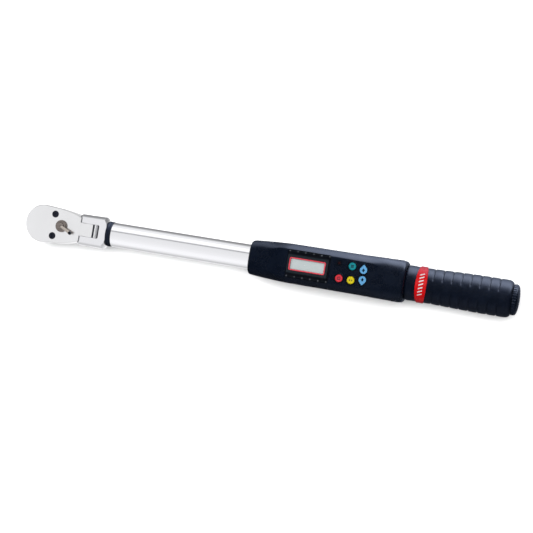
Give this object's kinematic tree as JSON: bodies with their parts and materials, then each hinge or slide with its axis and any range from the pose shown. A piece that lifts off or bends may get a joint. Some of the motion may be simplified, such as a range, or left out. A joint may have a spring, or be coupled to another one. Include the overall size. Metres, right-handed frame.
{
  "type": "torque wrench",
  "caption": "Electronic torque wrench with a flexible reversible ratchet head, square drive, display, key panel and rubber grip",
  "frame": {"origin": "centre of the drive square's tip face, which is level with the underside of the housing", "axes": "+X along the tool from the drive towards the grip, +Z out of the display, +Y to the side"},
  "size_m": [0.4465, 0.0364, 0.0388],
  "materials": {
    "satin_steel": "satin nickel plate",
    "chrome": "polished chrome plate",
    "gunmetal": "dark nickel",
    "black_oxide": "black oxide",
    "tool_steel": "ground",
    "spring_steel": "drawn wire",
    "aluminium": "machined",
    "brass": "stamped",
    "navy_rubber": "moulded, satin",
    "navy_plastic": "soft-touch moulding",
    "black_plastic": "satin",
    "badge_red": "gloss",
    "frame_red": "gloss",
    "led_red": "unlit lens",
    "key_red": "coated silicone",
    "key_teal": "coated silicone",
    "key_yellow": "coated silicone",
    "key_blue": "coated silicone",
    "silicone_grey": "moulded",
    "board_green": "solder mask",
    "lcd_grey": "blank liquid crystal cell",
    "lens_clear": "polished",
    "gauge_foil": "foil on film",
    "cable_grey": "insulated lead",
    "cell_jacket": "printed sleeve, no text"
  },
  "bodies": {
    "handle": {"yoke": "chrome", "flex_pin": "gunmetal", "flex_spring": "spring_steel", "yoke_seal_ring": "navy_rubber", "front_tube": "chrome", "sensor_beam": "tool_steel", "strain_gauge_left": "gauge_foil", "strain_gauge_right": "gauge_foil", "beam_anchor_pin": "tool_steel", "sensor_cable": "cable_grey", "housing_front": "navy_plastic", "housing_back": "navy_plastic", "case_screw_1": "black_oxide", "case_screw_2": "black_oxide", "case_screw_3": "black_oxide", "case_screw_4": "black_oxide", "display_plate": "black_plastic", "display_bezel": "frame_red", "display_lens": "lens_clear", "lcd_module": "lcd_grey", "circuit_board": "board_green", "keypad_mat": "silicone_grey", "alert_led": "led_red", "buzzer": "black_plastic", "handle_tube": "aluminium", "handle_anchor_pin": "tool_steel", "grip_sleeve": "navy_rubber", "badge_band": "badge_red", "battery_contact": "brass", "battery_1": "cell_jacket", "battery_2": "cell_jacket"},
    "head": {"head_body": "satin_steel", "cover_plate": "satin_steel", "cover_screw_1": "black_oxide", "cover_screw_2": "black_oxide"},
    "drive": {"drive_anvil": "satin_steel", "socket_detent_spring": "spring_steel"},
    "drive_detent": {"socket_detent_ball": "tool_steel"},
    "lever": {"reverse_lever": "gunmetal", "lever_stem": "chrome", "lever_tip": "black_plastic", "pawl_detent_ball": "tool_steel", "pawl_detent_spring": "spring_steel"},
    "ratchet_pawl": {"pawl": "tool_steel"},
    "flex_detent": {"flex_plunger": "tool_steel"},
    "power_key": {"key_power": "key_red"},
    "mode_key": {"key_mode": "key_teal"},
    "units_key": {"key_units": "key_yellow"},
    "up_key": {"key_up": "key_blue"},
    "down_key": {"key_down": "key_blue"},
    "cap_carrier": {"cap_seal": "black_plastic", "cap_spring": "spring_steel"},
    "cap": {"battery_cap": "navy_plastic"}
  },
  "joints": [
    {"name": "head_flex", "type": "hinge", "parent": "handle", "child": "head", "pos_m": [0.0435, 0, 0.0192], "axis": [0, 1, 0], "range_deg": [-15, 15]},
    {"name": "drive_spin", "type": "hinge", "parent": "head", "child": "drive", "pos_m": [0, 0, 0.012], "axis": [0, 0, 1], "continuous": true},
    {"name": "drive_detent_press", "type": "slide", "parent": "drive", "child": "drive_detent", "axis": [-1, 0, 0], "range_m": [0, 0.0006], "stiffness_N_per_m": 600, "springref_m": -0.001},
    {"name": "reverse_throw", "type": "hinge", "parent": "head", "child": "lever", "pos_m": [0.0179, 0, 0.0192], "axis": [0, 0, 1], "range_deg": [0, 50]},
    {"name": "pawl_rock", "type": "hinge", "parent": "head", "child": "ratchet_pawl", "pos_m": [0.0179, 0, 0.0192], "axis": [0, 0, 1], "range_deg": [-8, 0]},
    {"name": "flex_detent_press", "type": "slide", "parent": "handle", "child": "flex_detent", "axis": [1, 0, 0], "range_m": [0, 0.0005], "stiffness_N_per_m": 600, "springref_m": -0.001},
    {"name": "power_key_press", "type": "slide", "parent": "handle", "child": "power_key", "axis": [0, 0, -1], "range_m": [0, 0.0006], "stiffness_N_per_m": 400, "springref_m": -0.001},
    {"name": "mode_key_press", "type": "slide", "parent": "handle", "child": "mode_key", "axis": [0, 0, -1], "range_m": [0, 0.0006], "stiffness_N_per_m": 400, "springref_m": -0.001},
    {"name": "units_key_press", "type": "slide", "parent": "handle", "child": "units_key", "axis": [0, 0, -1], "range_m": [0, 0.0006], "stiffness_N_per_m": 400, "springref_m": -0.001},
    {"name": "up_key_press", "type": "slide", "parent": "handle", "child": "up_key", "axis": [0, 0, -1], "range_m": [0, 0.0006], "stiffness_N_per_m": 400, "springref_m": -0.001},
    {"name": "down_key_press", "type": "slide", "parent": "handle", "child": "down_key", "axis": [0, 0, -1], "range_m": [0, 0.0006], "stiffness_N_per_m": 400, "springref_m": -0.001},
    {"name": "cap_pull", "type": "slide", "parent": "handle", "child": "cap_carrier", "axis": [1, 0, 0], "range_m": [0, 0.015]},
    {"name": "cap_turn", "type": "hinge", "parent": "cap_carrier", "child": "cap", "pos_m": [0.4233, 0, 0.0192], "axis": [1, 0, 0], "range_deg": [0, 90]}
  ],
  "couplings": [
    {"joint": "pawl_rock", "follows": "reverse_throw", "ratio": -0.16}
  ]
}
